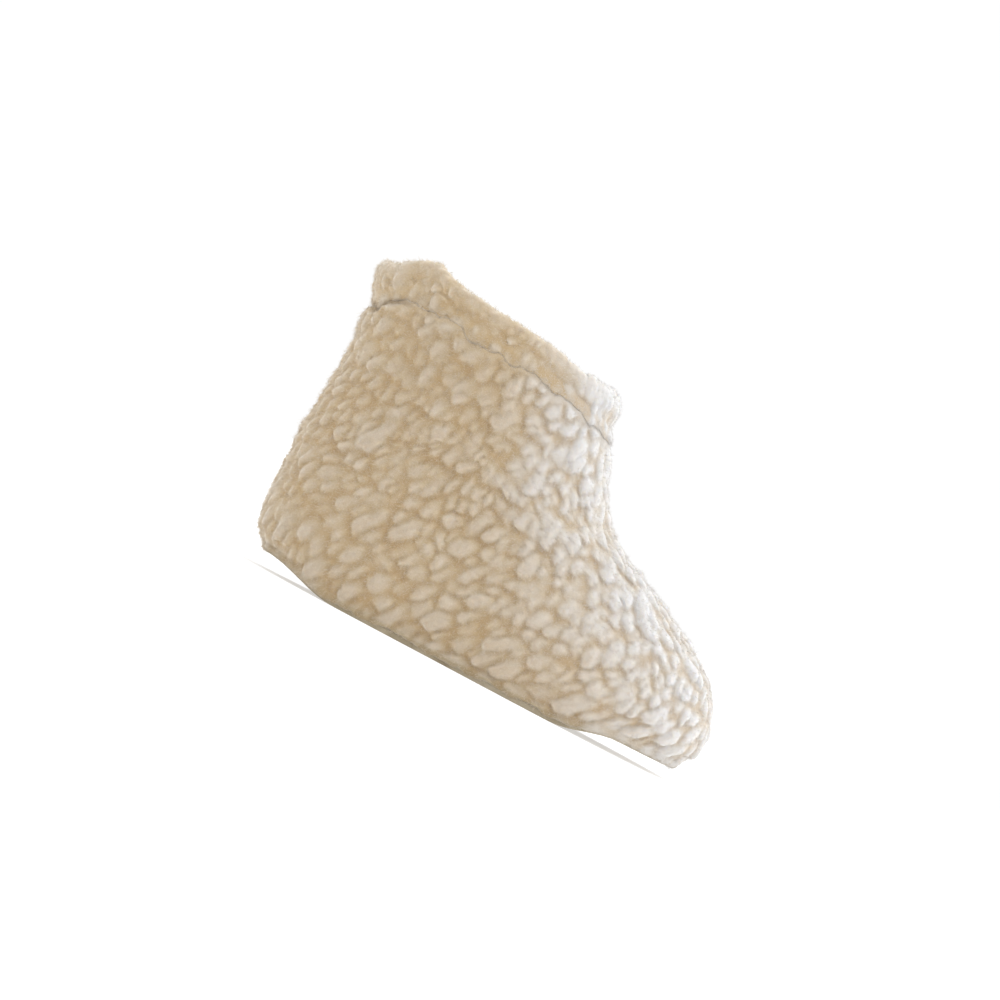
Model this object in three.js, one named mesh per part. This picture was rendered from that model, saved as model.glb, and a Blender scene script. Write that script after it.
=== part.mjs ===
// A wool house boot for the right foot: a hollow fleece upper with a rolled hem round its collar,
// a thin soft outsole and an insole. Millimetres, +Z up, toe towards +X, outer side towards -Y.
// The origin is on the floor, under the middle of the boot's box.
import * as THREE from "three";

// Driving sizes
const LENGTH = 274; // heel to toe, with the pile
const BALL_WIDTH = 104; // across the ball, with the pile
const SHAFT_HEIGHT = 150; // from the top of the sole to the hem's seam
const HEM_HEIGHT = 18; // the rolled hem, from its seam to the collar's edge
const CROWN_RISE = 12.5; // how far the collar's sides stand over its back and front
const WALL = 7; // backing and pile together
const HEM_PUFF = 1.2; // how far the hem stands out past the wall on each face
const OUTSOLE_THICKNESS = 4;
const OUTSOLE_EDGE = 1.2; // rounding of the outsole's edges
const INSOLE_THICKNESS = 5;
const TOE_SPRING = 7.5;
const HEEL_LIFT = 8.8; // the soft sole rounds up under the heel
const SEAM_GAP = 0.3; // between pieces that are sewn face to face
const INSOLE_CLEARANCE = 0.5; // between the insole's edge and the wall
const CURL_RELIEF = 1; // how far the pile's curls stand over and under the mean face
const HEM_CURL_RELIEF = 0.4; // the same on the hem, where the pile is pressed flat

// Left and right shape, for a right foot. Medial is +Y.
const TOE_SWING = 6; // how far the toe turns to the medial side
const SWING_FROM = 0.45; // share of the length where that turn starts
const BALL_SKEW = 0.025; // the medial ball lies this share of a section further forward
const WAIST = { centre: 0.42, reach: 0.26, medial: 0.17, lateral: 0.07 };

// Shares of the length between which the sole rises at the toe and at the heel
const SPRING = { from: 0.7, to: 0.84 };
const LIFT = { from: 0.215, to: 0.05 };

// The collar's edge dips at the centre back, peaks just in front of it, runs level to its shoulder
// and falls to the front. Shares of the way from back to front, and of the rise.
const CROWN = { peak: 0.15, shoulder: 0.55, atShoulder: 0.74 };

// Points round each section, and steps from one row of the table to the next
const AROUND = 96;
const INNER_AROUND = AROUND / 2;
const OUTER_STEPS = 3;
const HEM_SIDE_STEPS = 2;
const HEM_TOP_STEPS = 5;
const EDGE_STEPS = 2;
const CURL_SCATTER = 0.25; // how far a curl strays from its place, as a share of a step
const CURL_SEED = 7;

// Sections from the sole's seam to the hem's seam. Each one spans from its back end to its front end.
// x: shares of the length. z: shares of the shaft's height above the sole's top. width: share of the
// ball's width. widest: where along the section it is widest. toe and heel: roundness of its two ends.
// foot: how much of the foot's waist and swing it has. crown: how much of the collar's rise it has.
const COLUMNS = ["backX", "backZ", "frontX", "frontZ", "width", "widest", "toe", "heel", "foot", "crown"];
const ROWS = [
  [0.038, 0, 0.966, 0, 0.93, 0.7, 2.25, 2.6, 1, 0],
  [0.018, 0.047, 0.994, 0.047, 0.985, 0.69, 2.25, 2.6, 1, 0],
  [0.007, 0.12, 1, 0.112, 1, 0.67, 2.2, 2.55, 0.9, 0],
  [0.003, 0.22, 0.992, 0.203, 0.965, 0.63, 2.1, 2.5, 0.75, 0],
  [0.001, 0.33, 0.954, 0.311, 0.895, 0.57, 2.05, 2.4, 0.55, 0],
  [0, 0.435, 0.888, 0.397, 0.83, 0.52, 2, 2.3, 0.35, 0],
  [0.003, 0.53, 0.82, 0.473, 0.79, 0.49, 2, 2.2, 0.18, 0.04],
  [0.007, 0.62, 0.742, 0.581, 0.775, 0.475, 2, 2.1, 0.06, 0.14],
  [0.011, 0.705, 0.664, 0.658, 0.77, 0.47, 2, 2.05, 0, 0.3],
  [0.01, 0.79, 0.621, 0.74, 0.775, 0.47, 2, 2, 0, 0.5],
  [0.004, 0.887, 0.584, 0.86, 0.79, 0.475, 2, 2, 0, 0.78],
  [-0.003, 0.983, 0.55, 1, 0.805, 0.48, 2, 2, 0, 1],
];
const SECTIONS = ROWS.map((row) => Object.fromEntries(COLUMNS.map((name, i) => [name, row[i]])));
const TOP = SECTIONS.length - 1; // the row of the hem's seam
const INSOLE_ROW = INSOLE_THICKNESS / (SECTIONS[1].backZ * SHAFT_HEIGHT); // level with the insole's top

const { clamp, lerp, smoothstep, seededRandom } = THREE.MathUtils;

// A smooth curve through the values of one column at rows 0, 1, 2, ...
function through(values, at) {
  const last = values.length - 1;
  const row = clamp(Math.floor(at), 0, last - 1);
  const part = at - row;
  const [a, b, c, d] = [-1, 0, 1, 2].map((step) => values[clamp(row + step, 0, last)]);
  const slopeB = (c - a) / 2;
  const slopeC = (d - b) / 2;
  const bend = 3 * (c - b) - 2 * slopeB - slopeC;
  const twist = 2 * (b - c) + slopeB + slopeC;
  return b + part * (slopeB + part * (bend + part * twist));
}

// The section at any place between two rows of the table
function sectionAt(row) {
  return Object.fromEntries(
    COLUMNS.map((name) => [name, through(SECTIONS.map((section) => section[name]), row)]),
  );
}

// Height of the collar's edge over a straight line from its back end (0) to its front end (1)
function crownAt(along) {
  const back = smoothstep(along, 0, CROWN.peak);
  const middle = lerp(1, CROWN.atShoulder, smoothstep(along, CROWN.peak, CROWN.shoulder));
  const fall = Math.max(0, along - CROWN.shoulder) / (1 - CROWN.shoulder);
  return CROWN_RISE * back * middle * (1 - fall * fall);
}

// Height of the outsole's underside over the floor
function soleRise(x) {
  const toe = smoothstep(x, SPRING.from * LENGTH, SPRING.to * LENGTH);
  const heel = 1 - smoothstep(x, LIFT.to * LENGTH, LIFT.from * LENGTH);
  return TOE_SPRING * toe + HEEL_LIFT * heel;
}

// Where the upper and the insole stand
function seatHeight(x) {
  return soleRise(x) + OUTSOLE_THICKNESS + SEAM_GAP;
}

// Half the width of a section at a share of the way from its back end to its front end
function halfWidth(section, along, side) {
  const widest = section.widest + side * BALL_SKEW * section.foot;
  const [away, round] =
    along > widest
      ? [(along - widest) / (1 - widest), section.toe]
      : [(widest - along) / widest, section.heel];
  const oval = Math.pow(Math.max(0, 1 - Math.pow(away, round)), 1 / round);
  const near = clamp((along - WAIST.centre) / WAIST.reach, -1, 1);
  const depth = (side > 0 ? WAIST.medial : WAIST.lateral) * section.foot;
  return (BALL_WIDTH / 2) * section.width * oval * (1 - depth * 0.5 * (1 + Math.cos(Math.PI * near)));
}

// A point of the upper's outer face. angle 0 is at the toe, a half turn is at the heel.
function skin(row, angle) {
  const section = sectionAt(row);
  const along = 0.5 + 0.5 * Math.cos(angle);
  const side = Math.sin(angle) < 0 ? -1 : 1;
  const [backX, frontX] = [section.backX * LENGTH, section.frontX * LENGTH];
  const x = lerp(backX, frontX, along);
  const forward = Math.max(0, x / LENGTH - SWING_FROM) / (1 - SWING_FROM);
  const swing = TOE_SWING * section.foot * forward * forward;
  const chord = lerp(seatHeight(backX), seatHeight(frontX), along);
  const onSole = (seatHeight(x) - chord) * (1 - smoothstep(row, 0, TOP / 2));
  const height = SHAFT_HEIGHT * lerp(section.backZ, section.frontZ, along);
  const z = chord + onSole + height + section.crown * crownAt(along);
  return new THREE.Vector3(x, side * halfWidth(section, along, side) + swing, z);
}

// The face's own directions at a point: out of the wall, and up along it
function directions(row, angle) {
  const small = 0.02;
  const up = skin(Math.min(TOP, row + small), angle).sub(skin(Math.max(0, row - small), angle)).normalize();
  const round = skin(row, angle + small).sub(skin(row, angle - small));
  const out = round.cross(up).normalize();
  return { out, up };
}

// A point inside the outer face, by the given depth. Next to the sole the depth is measured level.
function inside(row, angle, depth) {
  const { out } = directions(row, angle);
  out.z *= smoothstep(row, 0, 2);
  return skin(row, angle).addScaledVector(out.normalize(), -depth);
}

// A point at a depth inside the outer face, at a height over the sole's top
function overSole(row, angle, depth, height) {
  const point = inside(row, angle, depth);
  point.z = seatHeight(point.x) + height;
  return point;
}

// Angles that divide the sole's outline into even steps
function evenAngles(count) {
  const oval = new THREE.EllipseCurve(0, 0, LENGTH / 2, BALL_WIDTH / 2);
  const places = oval.getSpacedPoints(count).slice(0, count);
  return places.map(({ x, y }) => Math.atan2(y / BALL_WIDTH, x / LENGTH));
}

function ring(pointAt, count = AROUND) {
  return evenAngles(count).map((angle, i) => pointAt(angle, i));
}

// How far one point of the pile stands out: every second point is the top of a curl
function curl(ringNumber, i) {
  const size = lerp(0.6, 1, seededRandom());
  return (ringNumber + i) % 2 === 0 ? size : -size;
}

function scatter() {
  return CURL_SCATTER * lerp(-1, 1, seededRandom());
}

// Rings joined in order, the finer ones a whole number of times as fine as the coarser ones. A closed
// loft joins the last ring to the first. An open one has each end closed by a strip between its sides.
function loft(rings, closed) {
  const starts = [0];
  rings.forEach((points) => starts.push(starts.at(-1) + points.length));
  const at = (r, i) => {
    const points = rings[r % rings.length];
    return starts[r % rings.length] + (Math.floor((i * points.length) / AROUND) % points.length);
  };
  const index = [];
  for (let r = 0; r < rings.length - (closed ? 0 : 1); r++) {
    for (let i = 0; i < AROUND; i++) {
      const [a, b, c, d] = [at(r, i), at(r, i + 1), at(r + 1, i + 1), at(r + 1, i)];
      index.push([a, b, c], [a, c, d]);
    }
  }
  if (!closed) {
    const last = rings.length - 1;
    for (let i = 0; i < AROUND / 2; i++) {
      const [a, b, c, d] = [i, i + 1, AROUND - i - 1, AROUND - i];
      index.push([at(0, a), at(0, c), at(0, b)], [at(last, a), at(last, b), at(last, c)]);
      index.push([at(0, a), at(0, d), at(0, c)], [at(last, a), at(last, c), at(last, d)]);
    }
  }
  const triangles = index.filter(([a, b, c]) => a !== b && b !== c && c !== a);
  const geometry = new THREE.BufferGeometry();
  const positions = rings.flat().flatMap((point) => point.toArray());
  geometry.setAttribute("position", new THREE.Float32BufferAttribute(positions, 3));
  geometry.setIndex(triangles.flat());
  geometry.computeVertexNormals();
  return geometry;
}

// The upper: up its curled outer face and down its inner one, open at the collar and underneath.
// The rings at its two seams and along the insole are full, so that they match the pieces there.
function upperGeometry() {
  const last = TOP * OUTER_STEPS;
  const rings = [ring((angle) => skin(0, angle))];
  for (let r = 1; r < last; r++) {
    rings.push(
      ring((angle, i) => {
        const row = (r + scatter()) / OUTER_STEPS;
        const place = angle + (scatter() * 2 * Math.PI) / AROUND;
        return inside(row, place, -CURL_RELIEF * curl(r, i));
      }),
    );
  }
  rings.push(ring((angle) => skin(TOP, angle)));
  rings.push(ring((angle) => inside(TOP, angle, WALL)));
  for (let row = TOP - 1; row > INSOLE_ROW; row--) {
    rings.push(ring((angle) => inside(row, angle, WALL), INNER_AROUND));
  }
  rings.push(ring((angle) => overSole(INSOLE_ROW, angle, WALL, INSOLE_THICKNESS)));
  rings.push(ring((angle) => overSole(0, angle, WALL, 0)));
  return loft(rings, true);
}

// The hem's cross-section, from the seam's outer corner over the rolled edge to its inner corner.
// depth is measured into the wall, height up from the seam.
function hemSection() {
  const roll = WALL / 2 + HEM_PUFF;
  const sideHeight = HEM_HEIGHT - roll;
  const outer = Array.from({ length: HEM_SIDE_STEPS }, (_, i) => ({
    depth: -HEM_PUFF * Math.sin((0.5 * Math.PI * i) / HEM_SIDE_STEPS),
    height: (sideHeight * i) / HEM_SIDE_STEPS,
  }));
  const top = Array.from({ length: HEM_TOP_STEPS + 1 }, (_, i) => ({
    depth: WALL / 2 - roll * Math.cos((Math.PI * i) / HEM_TOP_STEPS),
    height: sideHeight + roll * Math.sin((Math.PI * i) / HEM_TOP_STEPS),
  }));
  const inner = outer.map(({ depth, height }) => ({ depth: WALL - depth, height })).reverse();
  return [...outer, ...top, ...inner];
}

function hemGeometry() {
  const section = hemSection();
  const rings = section.map(({ depth, height }, r) => {
    const atSeam = r === 0 || r === section.length - 1;
    return ring((angle, i) => {
      const { out, up } = directions(TOP, angle);
      const relief = atSeam ? 0 : HEM_CURL_RELIEF * curl(r, i);
      const fromMiddle = depth < WALL / 2 ? relief : -relief;
      return skin(TOP, angle)
        .addScaledVector(up, SEAM_GAP + height)
        .addScaledVector(out, fromMiddle - depth);
    });
  });
  return loft(rings, true);
}

// The outsole: the outline of the upper's lowest section, with rounded edges
function outsoleGeometry() {
  const edge = Math.min(OUTSOLE_EDGE, OUTSOLE_THICKNESS / 2);
  const lower = Array.from({ length: EDGE_STEPS + 1 }, (_, i) => {
    const turn = (0.5 * Math.PI * i) / EDGE_STEPS;
    return { depth: edge * (1 - Math.sin(turn)), height: edge * (1 - Math.cos(turn)) };
  });
  const upper = lower.map(({ depth, height }) => ({ depth, height: OUTSOLE_THICKNESS - height })).reverse();
  const underSeat = OUTSOLE_THICKNESS + SEAM_GAP;
  const rings = [...lower, ...upper].map(({ depth, height }) =>
    ring((angle) => overSole(0, angle, depth, height - underSeat)),
  );
  return loft(rings, false);
}

// The insole lies on the outsole and follows the wall's inner face
function insoleGeometry() {
  const depth = WALL + INSOLE_CLEARANCE;
  const rings = [
    ring((angle) => overSole(0, angle, depth, 0)),
    ring((angle) => overSole(INSOLE_ROW, angle, depth, INSOLE_THICKNESS)),
  ];
  return loft(rings, false);
}

function piece(name, geometry, color, roughness) {
  const mesh = new THREE.Mesh(geometry, new THREE.MeshStandardMaterial({ color, roughness, metalness: 0 }));
  mesh.name = name;
  return mesh;
}

seededRandom(CURL_SEED);
const boot = new THREE.Group();
boot.add(piece("outsole", outsoleGeometry(), 0xa8967a, 0.95));
boot.add(piece("insole", insoleGeometry(), 0xd9cdb8, 1));
boot.add(piece("upper", upperGeometry(), 0xd3c6ae, 1));
boot.add(piece("collar_hem", hemGeometry(), 0xd8c9ae, 1));

const box = new THREE.Box3().setFromObject(boot, true);
const middle = box.getCenter(new THREE.Vector3());
boot.position.set(-middle.x, -middle.y, -box.min.z);

export default boot;
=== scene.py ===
"""The wool boot's looks: curly fleece outside and in, a rolled hem, a fleece insole and a suede sole.

Everything is worked out in millimetres in the solids' own frame, from the same sections, and goes
out in metres in the row's frame. A point of the wall has a row (0 at the sole's seam, TOP at the
hem's seam) and an angle (0 at the toe, a half turn at the heel).
"""
import math

import bpy
import numpy as np
from mathutils import Matrix, Vector, noise
from mathutils.kdtree import KDTree


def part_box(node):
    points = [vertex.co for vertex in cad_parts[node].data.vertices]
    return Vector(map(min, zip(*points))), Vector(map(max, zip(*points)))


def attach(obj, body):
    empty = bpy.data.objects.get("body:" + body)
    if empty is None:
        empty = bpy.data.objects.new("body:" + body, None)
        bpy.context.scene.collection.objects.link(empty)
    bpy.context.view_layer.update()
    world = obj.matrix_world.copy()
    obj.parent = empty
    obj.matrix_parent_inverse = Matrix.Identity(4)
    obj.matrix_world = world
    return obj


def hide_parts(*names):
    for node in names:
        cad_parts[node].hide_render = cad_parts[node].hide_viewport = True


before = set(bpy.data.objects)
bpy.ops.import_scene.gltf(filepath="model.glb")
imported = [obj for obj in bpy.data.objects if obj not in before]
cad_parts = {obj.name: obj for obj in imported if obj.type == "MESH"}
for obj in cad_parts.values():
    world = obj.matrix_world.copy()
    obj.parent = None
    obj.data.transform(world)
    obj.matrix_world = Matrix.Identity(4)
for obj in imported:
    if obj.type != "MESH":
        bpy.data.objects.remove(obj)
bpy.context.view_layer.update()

# Without this the vector noise takes its offsets from the clock
noise.seed_set(7)

# The solids' sizes
LENGTH = 274.0
BALL_WIDTH = 104.0
SHAFT_HEIGHT = 150.0
HEM_HEIGHT = 18.0
CROWN_RISE = 12.5
WALL = 7.0
HEM_PUFF = 1.2
OUTSOLE_THICKNESS = 4.0
INSOLE_THICKNESS = 5.0
INSOLE_CLEARANCE = 0.5
TOE_SPRING = 7.5
HEEL_LIFT = 8.8
SEAM_GAP = 0.3
TOE_SWING = 6.0
SWING_FROM = 0.45
BALL_SKEW = 0.025
WAIST_CENTRE, WAIST_REACH, WAIST_MEDIAL, WAIST_LATERAL = 0.42, 0.26, 0.17, 0.07
SPRING_FROM, SPRING_TO = 0.7, 0.84
LIFT_FROM, LIFT_TO = 0.215, 0.05
CROWN_PEAK, CROWN_SHOULDER, CROWN_AT_SHOULDER = 0.15, 0.55, 0.74

COLUMNS = ["backX", "backZ", "frontX", "frontZ", "width", "widest", "toe", "heel", "foot", "crown"]
ROWS = np.array([
    [0.038, 0, 0.966, 0, 0.93, 0.7, 2.25, 2.6, 1, 0],
    [0.018, 0.047, 0.994, 0.047, 0.985, 0.69, 2.25, 2.6, 1, 0],
    [0.007, 0.12, 1, 0.112, 1, 0.67, 2.2, 2.55, 0.9, 0],
    [0.003, 0.22, 0.992, 0.203, 0.965, 0.63, 2.1, 2.5, 0.75, 0],
    [0.001, 0.33, 0.954, 0.311, 0.895, 0.57, 2.05, 2.4, 0.55, 0],
    [0, 0.435, 0.888, 0.397, 0.83, 0.52, 2, 2.3, 0.35, 0],
    [0.003, 0.53, 0.82, 0.473, 0.79, 0.49, 2, 2.2, 0.18, 0.04],
    [0.007, 0.62, 0.742, 0.581, 0.775, 0.475, 2, 2.1, 0.06, 0.14],
    [0.011, 0.705, 0.664, 0.658, 0.77, 0.47, 2, 2.05, 0, 0.3],
    [0.01, 0.79, 0.621, 0.74, 0.775, 0.47, 2, 2, 0, 0.5],
    [0.004, 0.887, 0.584, 0.86, 0.79, 0.475, 2, 2, 0, 0.78],
    [-0.003, 0.983, 0.55, 1, 0.805, 0.48, 2, 2, 0, 1],
])
TOP = len(ROWS) - 1
INSOLE_ROW = INSOLE_THICKNESS / (ROWS[1][COLUMNS.index("backZ")] * SHAFT_HEIGHT)

# The looks' own sizes. The backing is how deep in the wall the knit between the two piles lies.
BACKING = 4.3
BACKING_POINTS = 96
BACKING_ROWS = 12
BACKING_GAP = 0.05
OUTER_SPACING = 1.08
HEM_SPACING = 0.95
LINING_SPACING = 1.5
INSOLE_SPACING = 1.35
# The rows of points that carry a pile's edge beyond its seam
APRON = 4
# How deep under the skin the wall's pile is drawn in where the hem covers it
UNDER_HEM = -3.9
HEM_LIP = 3.6
CURL_STRETCH = 2.25
CURL_SPREAD = 0.2
CURL_LEAN = 34
CURLS_NEAR = 9
UP_Z = np.array([0.0, 0.0, 1.0])


def smoothstep(x, low, high):
    t = np.clip((x - low) / (high - low), 0, 1)
    return t * t * (3 - 2 * t)


def lerp(a, b, t):
    return a + (b - a) * t


def unit(v):
    return v / np.maximum(np.linalg.norm(v, axis=-1, keepdims=True), 1e-9)


# The boot's face, as in the solids


def section(row):
    """Every column of the table at these rows, by a smooth curve through its values"""
    last = len(ROWS) - 1
    first = np.clip(np.floor(row).astype(int), 0, last - 1)
    part = (row - first)[..., None]
    a, b, c, d = (ROWS[np.clip(first + step, 0, last)] for step in (-1, 0, 1, 2))
    slope_b, slope_c = (c - a) / 2, (d - b) / 2
    bend = 3 * (c - b) - 2 * slope_b - slope_c
    twist = 2 * (b - c) + slope_b + slope_c
    values = b + part * (slope_b + part * (bend + part * twist))
    return {name: values[..., i] for i, name in enumerate(COLUMNS)}


def crown_at(along):
    back = smoothstep(along, 0, CROWN_PEAK)
    middle = lerp(1, CROWN_AT_SHOULDER, smoothstep(along, CROWN_PEAK, CROWN_SHOULDER))
    fall = np.maximum(0, along - CROWN_SHOULDER) / (1 - CROWN_SHOULDER)
    return CROWN_RISE * back * middle * (1 - fall * fall)


def seat_height(x):
    toe = smoothstep(x, SPRING_FROM * LENGTH, SPRING_TO * LENGTH)
    heel = 1 - smoothstep(x, LIFT_TO * LENGTH, LIFT_FROM * LENGTH)
    return TOE_SPRING * toe + HEEL_LIFT * heel + OUTSOLE_THICKNESS + SEAM_GAP


def half_width(s, along, side):
    widest = s["widest"] + side * BALL_SKEW * s["foot"]
    ahead = along > widest
    away = np.where(ahead, (along - widest) / (1 - widest), (widest - along) / widest)
    bend = np.where(ahead, s["toe"], s["heel"])
    oval = np.maximum(0, 1 - away**bend) ** (1 / bend)
    near = np.clip((along - WAIST_CENTRE) / WAIST_REACH, -1, 1)
    depth = np.where(side > 0, WAIST_MEDIAL, WAIST_LATERAL) * s["foot"]
    return BALL_WIDTH / 2 * s["width"] * oval * (1 - depth * 0.5 * (1 + np.cos(np.pi * near)))


def skin(row, angle):
    row, angle = np.broadcast_arrays(np.asarray(row, float), np.asarray(angle, float))
    s = section(row)
    along = 0.5 + 0.5 * np.cos(angle)
    side = np.where(np.sin(angle) < 0, -1.0, 1.0)
    back_x, front_x = s["backX"] * LENGTH, s["frontX"] * LENGTH
    x = lerp(back_x, front_x, along)
    forward = np.maximum(0, x / LENGTH - SWING_FROM) / (1 - SWING_FROM)
    swing = TOE_SWING * s["foot"] * forward * forward
    chord = lerp(seat_height(back_x), seat_height(front_x), along)
    on_sole = (seat_height(x) - chord) * (1 - smoothstep(row, 0, TOP / 2))
    height = SHAFT_HEIGHT * lerp(s["backZ"], s["frontZ"], along)
    z = chord + on_sole + height + s["crown"] * crown_at(along)
    return np.stack([x, side * half_width(s, along, side) + swing, z], -1)


def directions(row, angle):
    small = 0.02
    up = unit(skin(np.minimum(TOP, row + small), angle) - skin(np.maximum(0, row - small), angle))
    around = skin(row, angle + small) - skin(row, angle - small)
    return unit(np.cross(around, up)), up


def level_out(row, angle):
    """Out of the wall, and level next to the sole"""
    out, _ = directions(row, angle)
    out = out * np.stack([np.ones_like(row), np.ones_like(row), smoothstep(row, 0, 2)], -1)
    return unit(out)


# Rings of points, and the mesh between them


def run_along(points):
    """How far along a line each of its points lies"""
    steps = np.linalg.norm(np.diff(points, axis=0), axis=1)
    return np.concatenate([[0], np.cumsum(steps)])


def even_angles(points_at, count, shift):
    """Angles that divide a closed curve into even steps"""
    dense = np.linspace(0, 2 * np.pi, 1441)
    run = run_along(points_at(dense))
    wanted = (np.arange(count) + shift) / count * run[-1]
    return np.interp(wanted, run, dense), run[-1]


def ring_count(points_at, spacing):
    _, length = even_angles(points_at, 8, 0)
    return max(24, int(round(length / spacing)))


def zip_rings(counts, shifts, closed):
    """Triangles between neighbouring rings of any counts"""
    starts = np.concatenate([[0], np.cumsum(counts)])
    faces = []
    pairs = [(r, (r + 1) % len(counts)) for r in range(len(counts) - (0 if closed else 1))]
    for r, q in pairs:
        n, m, s, t = counts[r], counts[q], shifts[r], shifts[q]
        i = j = 0
        while i < n or j < m:
            a, b = starts[r] + i % n, starts[q] + j % m
            if j >= m or (i < n and (i + 1 + s) / n <= (j + 1 + t) / m):
                faces.append((a, starts[r] + (i + 1) % n, b))
                i += 1
            else:
                faces.append((a, starts[q] + (j + 1) % m, b))
                j += 1
    return faces


def noise3(points, size, seed=0.0):
    """A smooth random vector at each point, whose waves are about this many millimetres long"""
    shift = Vector((seed, 2.7 * seed, -1.3 * seed))
    return np.array([noise.noise_vector(Vector(p) / size + shift) for p in points])


def noise1(points, size, seed=0.0):
    shift = Vector((seed, 2.7 * seed, -1.3 * seed))
    return np.array([noise.noise(Vector(p) / size + shift) for p in points])


# Curls: domes set like shingles, each a little over the one below it


def thin_out(points, size, long_axis, stretch, seed):
    """Picks random places one after another, each its own size away from the ones before it, measured
    in a space that is shorter along the curls' long axis"""
    order = np.random.default_rng(seed).permutation(len(points))
    cell = float(size.max()) * stretch
    cells = np.floor(points / cell).astype(int)
    around = [(x, y, z) for x in (-1, 0, 1) for y in (-1, 0, 1) for z in (-1, 0, 1)]
    grid, kept = {}, []
    for i in order:
        x, y, z = cells[i]
        near = [k for dx, dy, dz in around for k in grid.get((x + dx, y + dy, z + dz), ())]
        if near:
            gap = points[near] - points[i]
            run = gap @ long_axis[i]
            apart = (gap * gap).sum(1) - run * run * (1 - 1 / stretch**2)
            if (apart < (0.5 * (size[i] + size[near])) ** 2).any():
                continue
        grid.setdefault((x, y, z), []).append(i)
        kept.append(i)
    return np.array(kept)


def smoothed(values, faces, times=1, share=0.5):
    """Each point's value drawn towards the mean of its neighbours'"""
    faces = np.asarray(faces)
    start = np.concatenate([faces[:, 0], faces[:, 1], faces[:, 2]])
    stop = np.concatenate([faces[:, 1], faces[:, 2], faces[:, 0]])
    flat = values.reshape(len(values), -1)
    count = np.maximum(np.bincount(start, minlength=len(flat)), 1)
    for _ in range(times):
        sums = [np.bincount(start, flat[stop, k], len(flat)) for k in range(flat.shape[1])]
        mean = np.stack([total / count for total in sums], 1)
        flat = lerp(flat, mean, share)
    return flat.reshape(values.shape)


def curl_field(points, curls, seed=1.0):
    """How high the curls stand at each point, and which way they hang there. A curl is a petal: it
    rises gently from its root and drops steeply at its round, hanging end."""
    centre, tip_axis, side_axis, reach_long, reach_short, height = curls
    tree = KDTree(len(centre))
    for i, c in enumerate(centre):
        tree.insert(c, i)
    tree.balance()
    index = np.array([[hit[1] for hit in tree.find_n(p, CURLS_NEAR)] for p in points])
    away = points[:, None, :] - centre[index]
    a = np.einsum("ijk,ijk->ij", away, tip_axis[index]) / reach_long[index]
    b = np.einsum("ijk,ijk->ij", away, side_axis[index]) / reach_short[index]
    own = np.arange(len(points))
    q = np.hypot(np.where(a > 0, 1.2 * a, 0.8 * a), b)
    first = q.argmin(1)
    nearest = q[own, first]
    q[own, first] = 1e9
    second = q.min(1)
    curl = index[own, first]
    a_own, b_own = a[own, first], b[own, first]
    body = smoothstep((second - nearest) / lerp(1.3, 0.85, smoothstep(a_own, -0.4, 0.6)), 0.0, 1.0)
    shut = np.clip(0.85 + 1.1 * noise1(points, 12, seed), 0.4, 1)
    body = 1 - (1 - body**0.8) * shut
    dome = 1 - 0.42 * np.minimum(nearest, 1.3) ** 2
    strand = np.stack([
        a_own * reach_long[curl] / 6 + 3.1 * curl,
        b_own * reach_short[curl] / 1.7,
        0.7 * curl,
    ], 1)
    grooves = np.array([noise.noise(Vector(s)) for s in strand])
    total = height[curl] * body * dome * (1 + 0.28 * np.clip(a_own, -1, 0.9))
    total = total + 0.55 * grooves * smoothstep(total, 0.3, 1.4)
    near_by = np.exp(-2.5 * (q.clip(0, 9) ** 2))
    near_by[own, first] = np.exp(-2.5 * nearest**2)
    hangs = unit((near_by[..., None] * tip_axis[index]).sum(1))
    return total, hangs


def place(points):
    """From the solids' own frame in millimetres to the row's frame in metres"""
    return (points - ORIGIN) / 1000


def mesh_object(name, points, faces, material, layers=None, smooth=True):
    mesh = bpy.data.meshes.new(name)
    faces = np.asarray(faces, np.int32)
    mesh.vertices.add(len(points))
    mesh.vertices.foreach_set("co", place(points).astype(np.float32).ravel())
    mesh.loops.add(faces.size)
    mesh.loops.foreach_set("vertex_index", faces.ravel())
    mesh.polygons.add(len(faces))
    mesh.polygons.foreach_set("loop_start", np.arange(0, faces.size, 3, dtype=np.int32))
    mesh.polygons.foreach_set("use_smooth", np.full(len(faces), smooth))
    for layer, values in (layers or {}).items():
        made = mesh.attributes.new(layer, "FLOAT", "POINT")
        made.data.foreach_set("value", np.asarray(values, np.float32))
    mesh.update(calc_edges=True)
    mesh.validate()
    obj = bpy.data.objects.new(name, mesh)
    bpy.context.scene.collection.objects.link(obj)
    mesh.materials.append(material)
    return obj


# The own frame's origin in the row's frame, from the outsole, which carries no pile
sole_low, sole_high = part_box("outsole")
sole_rim = skin(np.zeros(2000), np.linspace(0, 2 * np.pi, 2000))
ORIGIN = np.array([
    sole_rim[:, 0].min() - sole_low.x * 1000,
    (sole_rim[:, 1].min() + sole_rim[:, 1].max()) / 2 - (sole_low.y + sole_high.y) * 500,
    0.0,
])


# Materials


def nodes_of(name):
    material = bpy.data.materials.new(name)
    material.use_nodes = True
    tree = material.node_tree
    return material, tree, tree.nodes["Principled BSDF"]


def add(tree, kind, **settings):
    node = tree.nodes.new(kind)
    for key, value in settings.items():
        if hasattr(node, key):
            setattr(node, key, value)
        else:
            node.inputs[key].default_value = value
    return node


def noise_node(tree, scale, detail=2.0, rough=0.5, warp=0.0):
    where = tree.nodes.get("Where") or tree.nodes.new("ShaderNodeTexCoord")
    where.name = "Where"
    node = add(tree, "ShaderNodeTexNoise")
    node.inputs["Scale"].default_value = scale
    node.inputs["Detail"].default_value = detail
    node.inputs["Roughness"].default_value = rough
    node.inputs["Distortion"].default_value = warp
    tree.links.new(where.outputs["Object"], node.inputs["Vector"])
    return node


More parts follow.
